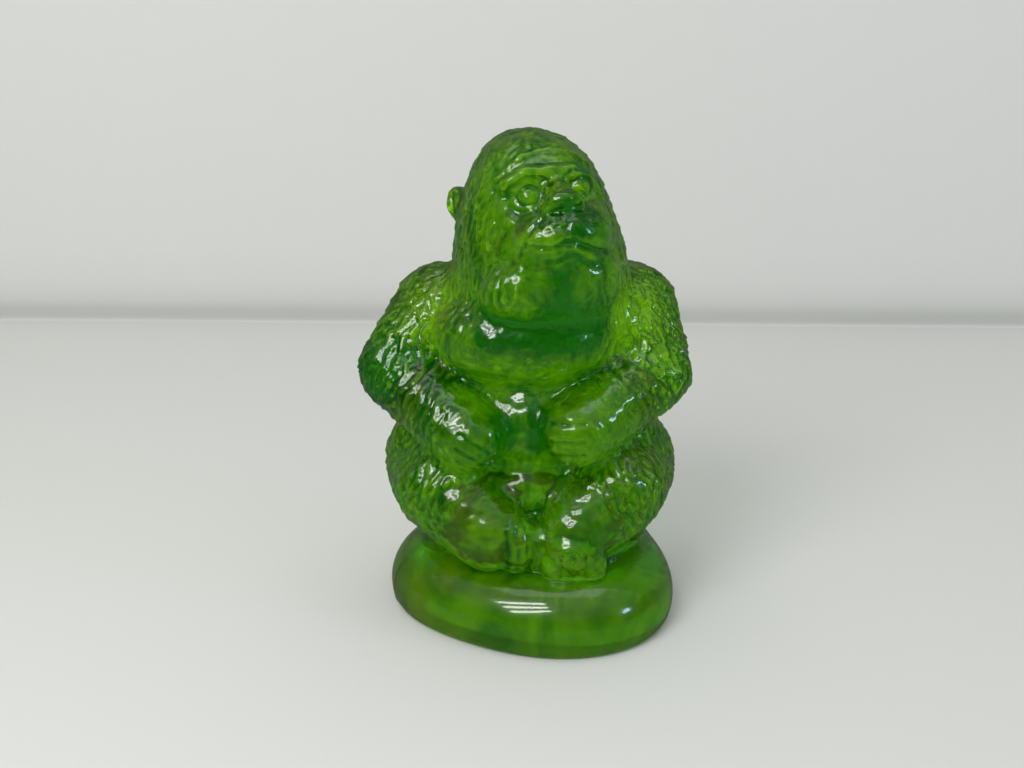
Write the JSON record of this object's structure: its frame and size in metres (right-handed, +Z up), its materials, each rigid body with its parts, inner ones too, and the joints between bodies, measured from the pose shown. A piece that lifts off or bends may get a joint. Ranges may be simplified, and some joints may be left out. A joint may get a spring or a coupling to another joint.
{
  "type": "gorilla figurine",
  "caption": "Seated gorilla in solid translucent lime-green pressed glass, hands on its lap and face raised, on a smooth pebble-shaped foot.",
  "frame": {"origin": "middle of the foot's flat underside, on the table", "axes": "+Z up through the figure, -Y out of its front, +X to the right of somebody who faces it"},
  "size_m": [0.0621, 0.055, 0.0902],
  "materials": {
    "lime_glass": "fire-polished, glossy translucent lime-green glass, darker where it is thick"
  },
  "bodies": {
    "root": {"gorilla": "lime_glass"}
  },
  "joints": []
}
